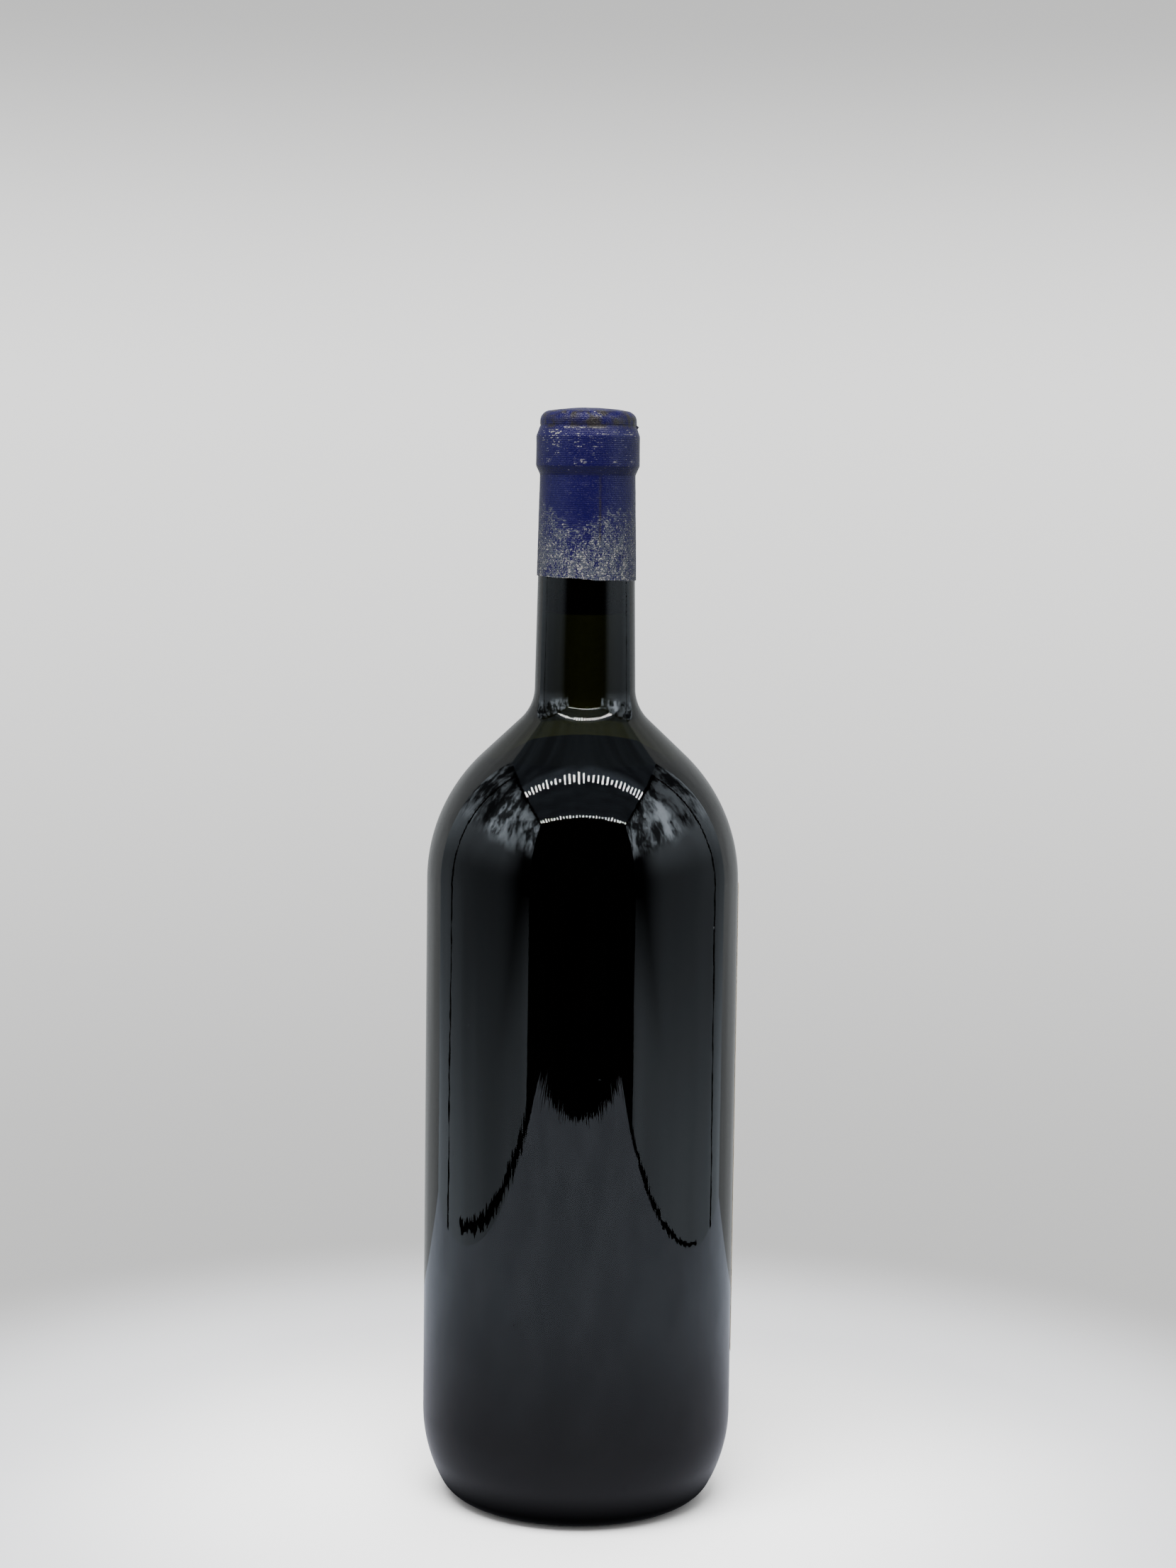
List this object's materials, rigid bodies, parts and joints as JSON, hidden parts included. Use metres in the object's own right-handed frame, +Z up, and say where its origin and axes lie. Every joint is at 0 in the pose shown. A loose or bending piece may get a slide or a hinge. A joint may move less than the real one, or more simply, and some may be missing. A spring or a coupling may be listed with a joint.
{
  "type": "wine bottle",
  "caption": "Large straight-sided glass bottle of dark wine, corked and sealed under a worn blue foil capsule, with round shoulders and a blank paper label on its back.",
  "frame": {"origin": "centre of the ring that the bottle stands on, at table level", "axes": "+Z up along the bottle's axis; +Y towards the side that carries the label, -Y towards the plain side"},
  "size_m": [0.1002, 0.1002, 0.3527],
  "materials": {
    "glass": "clear dark olive bottle glass, glossy",
    "wine": "deep red wine, nearly black behind the glass",
    "cork": "natural cork, stained at its lower end",
    "foil": "satin dark blue lacquer on foil, worn to pale grey metal in patches",
    "paper": "aged off-white label paper, matt"
  },
  "bodies": {
    "root": {"glass": "glass", "wine": "wine", "cork": "cork", "capsule": "foil", "label": "paper"}
  },
  "joints": []
}
